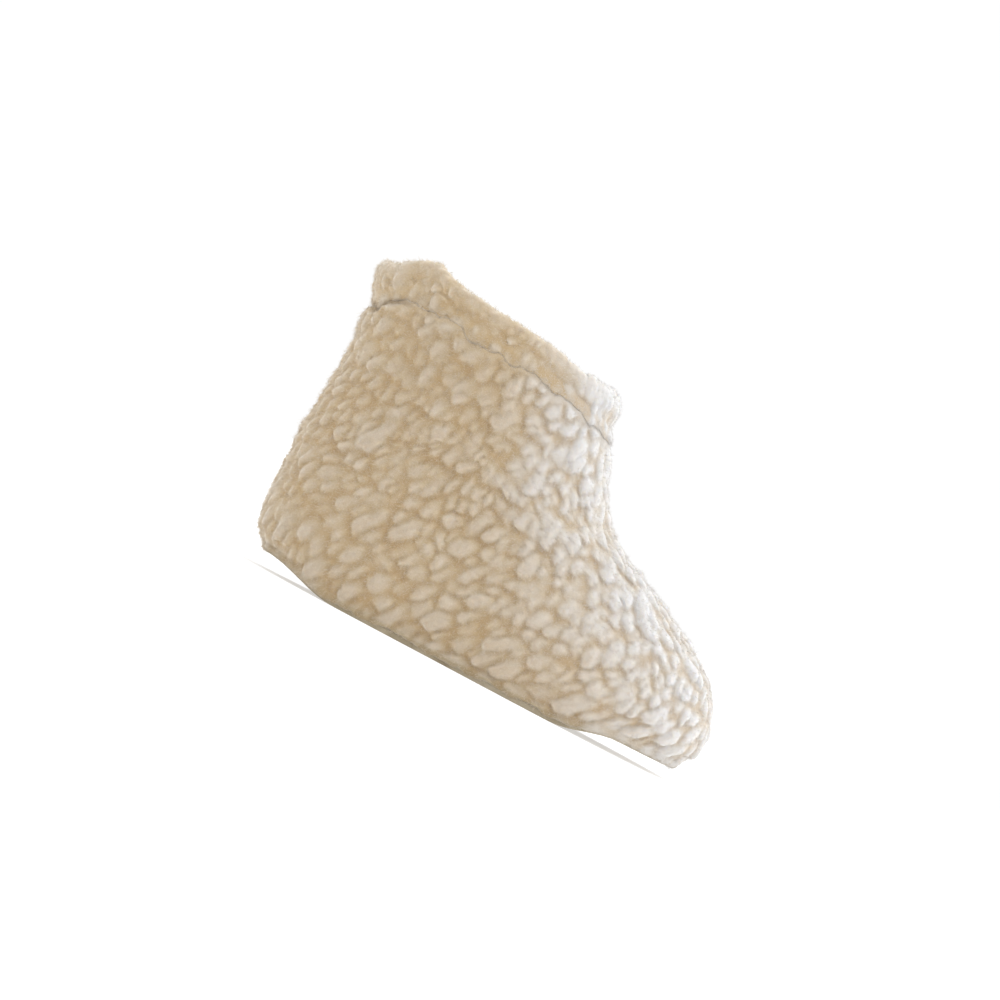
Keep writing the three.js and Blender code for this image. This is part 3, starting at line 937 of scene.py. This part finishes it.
def lining():
    """The wall's inner pile down to the sole, closed by the backing. It lies flat behind the insole."""
    rows = even_rows(LINING_SPACING * 1.05)
    counts, shifts, row, angle = wall_rings(rows, LINING_SPACING * 1.12)
    up, out = directions(row, angle)[1], level_out(row, angle)
    base = skin(row, angle) - out * WALL
    base[row == 0, 2] = seat_height(base[row == 0, 0])
    pick = np.random.default_rng(51).choice(len(base), 15000, replace=False)
    curls = make_curls(base[pick], row[pick], angle[pick], np.full(len(pick), 4.9), 2.0, 53)
    field, _ = curl_field(warped(base, 1.2, 7, 8.0), curls, seed=3.0)
    free = smoothstep(row, INSOLE_ROW + 0.15, INSOLE_ROW + 0.8)
    to_seam = np.interp(row, rows, np.arange(len(rows))[::-1] * LINING_SPACING)
    roll = (1 - np.clip(to_seam / 3.5, 0, 1)) ** 2 * 0.5
    raised = (-0.9 + field + 0.5 * noise1(base, 26, 15.0)) * free - roll
    sag = 0.25 * field * free * smoothstep(to_seam, 0, 4)
    points = base - out * raised[:, None] - up * sag[:, None]
    # Painted shade: darker in the hollows, darkest below the insole's top
    pile = np.clip(field / 1.9, 0, 1) * free
    backing = backing_rings(BACKING + BACKING_GAP)
    start = BACKING_POINTS * len(backing)
    splits = np.cumsum(counts)[:-1]
    all_points = np.concatenate([*backing, *np.split(points, splits)[::-1]])
    layer = np.concatenate([np.zeros(start), *np.split(pile, splits)[::-1]])
    all_counts = [BACKING_POINTS] * len(backing) + counts[::-1]
    faces = np.asarray(zip_rings(all_counts, [0] * len(backing) + shifts[::-1], True))
    obj = mesh_object("upper_lining", all_points, faces, LINING_WOOL, {"pile": layer})
    rows_down = np.concatenate([np.full(start, -1.0), row[::-1]])
    hairy = faces[(rows_down[faces] > INSOLE_ROW + 0.3).all(1)]
    return obj, all_points, hairy


def insole():
    """A fleece face with worn hollows under the heel and the ball, its edge and its flat underside"""
    depth = WALL + INSOLE_CLEARANCE

    def edge(angle):
        row = np.full_like(angle, INSOLE_ROW)
        point = skin(row, angle) - level_out(row, angle) * depth
        point[:, 2] = 0
        return point

    foot = edge(np.linspace(0, 2 * np.pi, 400))
    middle = (foot.min(0) + foot.max(0)) / 2
    steps = np.linspace(0.012, 1, 88)
    counts, shifts, flat = [], [], []
    for r, share in enumerate(steps):
        points_at = lambda angle, share=share: middle + (edge(angle) - middle) * share
        count = ring_count(points_at, INSOLE_SPACING) if share > 0.1 else 12
        shifts.append(0.5 * (r % 2))
        angles, _ = even_angles(points_at, count, shifts[-1])
        counts.append(count)
        flat.append(points_at(angles))
    shares = np.repeat(steps, counts)
    base = np.concatenate(flat)
    base[:, 2] = seat_height(base[:, 0]) + INSOLE_THICKNESS
    pick = np.random.default_rng(61).choice(len(base), min(9000, len(base)), replace=False)
    local = np.random.default_rng(62)
    size = 5.4 * np.exp(local.normal(0, 0.25, len(pick)))
    lean = np.radians(150) + local.normal(0, 0.7, len(pick))
    flat_axis = np.stack([np.cos(lean), np.sin(lean), np.zeros(len(pick))], 1)
    kept = thin_out(base[pick], size, flat_axis, 1.2, 63)
    n, lean, flat_axis = len(kept), lean[kept], flat_axis[kept]
    side_axis = np.stack([-np.sin(lean), np.cos(lean), np.zeros(n)], 1)
    curls = (
        base[pick[kept]], flat_axis, side_axis, size[kept] * 0.95, size[kept] * 0.72,
        1.7 * local.uniform(0.75, 1.2, n),
    )
    field, _ = curl_field(warped(base, 1.2, 7, 18.0), curls, seed=4.0)
    x, y = base[:, 0], base[:, 1] - middle[1]
    worn = 0.9 * np.exp(-(((x - 0.14 * LENGTH) / 26) ** 2) - (y / 17) ** 2)
    worn = worn + 0.8 * np.exp(-(((x - 0.68 * LENGTH) / 30) ** 2) - (y / 26) ** 2)
    inner = 1 - smoothstep(shares, 0.96, 1.0)
    lifted = base.copy()
    lifted[:, 2] += (-0.8 + field * (1 - 0.35 * worn) - worn) * inner - (1 - inner) * 0.6
    # Painted shade: darker in the hollows, darkest on the edge and the underside
    pile = np.clip(field / 1.7, 0, 1) * inner
    rim = flat[-1]
    rings = []
    for height in (3.0, 1.2, 0.02):
        ring = rim.copy()
        ring[:, 2] = seat_height(ring[:, 0]) + height
        rings.append(ring)
    under = []
    for share in (0.8, 0.5, 0.2, 0.012):
        ring = middle + (edge(np.linspace(0, 2 * np.pi, 48, endpoint=False)) - middle) * share
        ring[:, 2] = seat_height(ring[:, 0]) + 0.02
        under.append(ring)
    all_points = np.concatenate([lifted, *rings, *under])
    all_counts = counts + [len(rim)] * 3 + [48] * 4
    all_shifts = shifts + [shifts[-1]] * 3 + [0] * 4
    faces = zip_rings(all_counts, all_shifts, False)
    faces = [(a, c, b) for a, b, c in faces]
    first, last = counts[0], len(all_points) - 48
    faces += [(0, i, i + 1) for i in range(1, first - 1)]
    faces += [(last, last + i + 1, last + i) for i in range(1, 47)]
    faces = np.asarray(faces)[:, ::-1]
    layer = np.concatenate([pile, np.zeros(len(all_points) - len(pile))])
    obj = mesh_object("insole_fleece", all_points, faces, LINING_WOOL, {"pile": layer})
    shares = np.concatenate([shares, np.full(len(all_points) - len(shares), 2.0)])
    hairy = faces[(shares[faces] < 0.97).all(1)]
    return obj, all_points, hairy


# The boot, piece by piece

upper, upper_points, upper_hairy, upper_combed = outer_pile()
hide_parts("upper")
hem_piece, hem_points, hem_hairy, hem_combed, hem_edge = hem()
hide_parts("collar_hem")
lining_piece, lining_points, lining_hairy = lining()
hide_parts("upper")
insole_piece, insole_points, insole_hairy = insole()
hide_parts("insole")

# Each fibre piece: its slot, points, faces, count, reach, width, seed, and where it has them the
# directions that it is combed in and how far it stands up
ON_UPPER = (upper_points, upper_hairy, 66000)
ON_LINING = (lining_points, lining_hairy, 22000)
ON_INSOLE = (insole_points, insole_hairy, 9000)
FIBRE_PIECES = {
    "upper_fibres_a": ("fleece", *ON_UPPER, 2.7, 0.15, 71, upper_combed, 0.6),
    "upper_fibres_b": ("fleece", *ON_UPPER, 2.0, 0.14, 72, upper_combed, 0.6),
    "collar_hem_fibres": ("hem_fleece", hem_points, hem_hairy, 26000, 2.2, 0.14, 73, hem_combed),
    "collar_hem_fringe": ("hem_fleece", hem_points, hem_edge, 4500, 2.4, 0.16, 76, hem_combed, 0.3),
    "lining_fibres": ("fleece", *ON_LINING, 2.0, 0.12, 74),
    "insole_fibres": ("insole_fleece", *ON_INSOLE, 1.8, 0.12, 75),
}
fibres = []
for name, (slot, *grown) in FIBRE_PIECES.items():
    fibres.append(strands(name, *grown))

for obj in (upper, hem_piece, lining_piece, insole_piece, *fibres):
    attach(obj, "root")

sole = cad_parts["outsole"]
for slot in sole.material_slots:
    slot.material = SUEDE

# Floor, light and camera

floor_material, floor_tree, floor_shader = nodes_of("studio_floor")
floor_tone = noise_node(floor_tree, 1.5, 1)
floor_color = ramp(floor_tree, floor_tone.outputs["Fac"], [(0.0, grey(0.62)), (1.0, grey(0.66))])
floor_tree.links.new(floor_color.outputs["Color"], floor_shader.inputs["Base Color"])
floor_shader.inputs["Roughness"].default_value = 0.9
floor_shader.inputs["Specular IOR Level"].default_value = 0.1
floor_shader.inputs["Emission Color"].default_value = (1, 1, 1, 1)
floor_shader.inputs["Emission Strength"].default_value = 0.48
bpy.ops.mesh.primitive_circle_add(vertices=96, radius=9, fill_type="NGON", location=(0, 0, 0))
floor = bpy.context.object
floor.name = "floor"
floor.data.materials.append(floor_material)

# The camera looks square at the boot's side, rolled by TURN. VIEW_WIDTH is what its frame takes in.
TURN = math.radians(27.91)
VIEW_WIDTH = 0.549
LENS = 200
SENSOR = 36
SKY_STRENGTH = 1.92
RIGHT = Vector((math.cos(TURN), 0, math.sin(TURN)))
UP = Vector((-math.sin(TURN), 0, math.cos(TURN)))
BACK = Vector((0, -1, 0))
CENTRE = Vector((0, 0, 0.095))
BRIGHT_SIDE = (RIGHT * 0.9 + UP * 0.5 + BACK * 0.1).normalized()


# A white studio, with a big cool light beyond the toe and a dimmer, warmer wall at the heel
world = bpy.data.worlds.new("studio")
world.use_nodes = True
sky = world.node_tree
towards = sky.nodes.new("ShaderNodeTexCoord").outputs["Generated"]
split = sky.nodes.new("ShaderNodeSeparateXYZ")
sky.links.new(towards, split.inputs["Vector"])
backdrop = map_range(sky, split.outputs["Y"], 0.5, 0.8, 0.0, 1.0)
dot = add(sky, "ShaderNodeVectorMath", operation="DOT_PRODUCT")
sky.links.new(towards, dot.inputs[0])
dot.inputs[1].default_value = BRIGHT_SIDE
across = map_range(sky, dot.outputs["Value"], -1, 1, 0, 1)
tint = ramp(
    sky,
    across,
    [(0.1, (0.49, 0.5, 0.52)), (0.45, (0.46, 0.45, 0.43)), (0.72, (0.8, 0.85, 0.92)), (1, grey(1.0))],
)
# Dim and warm from the camera's own side
dimmed = map_range(sky, split.outputs["Y"], -0.9, 0.1, 0.6 * SKY_STRENGTH, SKY_STRENGTH)
warmth = map_range(sky, split.outputs["Y"], -0.9, 0.1, 1.0, 0.0)
warm = mix(sky, warmth, (1.0, 1.0, 1.0), (1.0, 0.95, 0.87))
tinted = mix(sky, 1.0, tint.outputs["Color"], warm, "MULTIPLY")
behind = sky.nodes.new("ShaderNodeMix")
sky.links.new(backdrop, behind.inputs[0])
sky.links.new(dimmed, behind.inputs[2])
behind.inputs[3].default_value = 1.02
background = sky.nodes["Background"]
sky.links.new(mix(sky, backdrop, tinted, (1.0, 1.0, 1.0)), background.inputs["Color"])
sky.links.new(behind.outputs[0], background.inputs["Strength"])
bpy.context.scene.world = world


def sun(name, towards, strength, soft_deg, color):
    light = bpy.data.lights.new(name, "SUN")
    light.energy = strength
    light.angle = math.radians(soft_deg)
    light.color = color
    obj = bpy.data.objects.new(name, light)
    obj.location = CENTRE + towards.normalized()
    obj.rotation_mode = "QUATERNION"
    obj.rotation_quaternion = (-towards).to_track_quat("-Z", "Y")
    bpy.context.scene.collection.objects.link(obj)


sun("key", RIGHT * 0.8 + UP * 0.65 + BACK * 0.2, 0.75, 35, (0.8, 0.92, 1.0))

camera_data = bpy.data.cameras.new("camera")
camera_data.lens = LENS
camera_data.sensor_width = SENSOR
distance = VIEW_WIDTH * LENS / SENSOR
camera = bpy.data.objects.new("camera", camera_data)
aim = CENTRE - RIGHT * (VIEW_WIDTH * 0.038) + UP * (VIEW_WIDTH * 0.017)
camera.matrix_world = Matrix.Translation(aim + BACK * distance) @ Matrix(
    (
        (RIGHT.x, UP.x, BACK.x, 0),
        (RIGHT.y, UP.y, BACK.y, 0),
        (RIGHT.z, UP.z, BACK.z, 0),
        (0, 0, 0, 1),
    )
)
camera_data.clip_start = 0.01
camera_data.clip_end = 40
bpy.context.scene.collection.objects.link(camera)
bpy.context.scene.camera = camera
bpy.context.scene.view_settings.view_transform = "Standard"
bpy.context.scene.view_settings.look = "None"
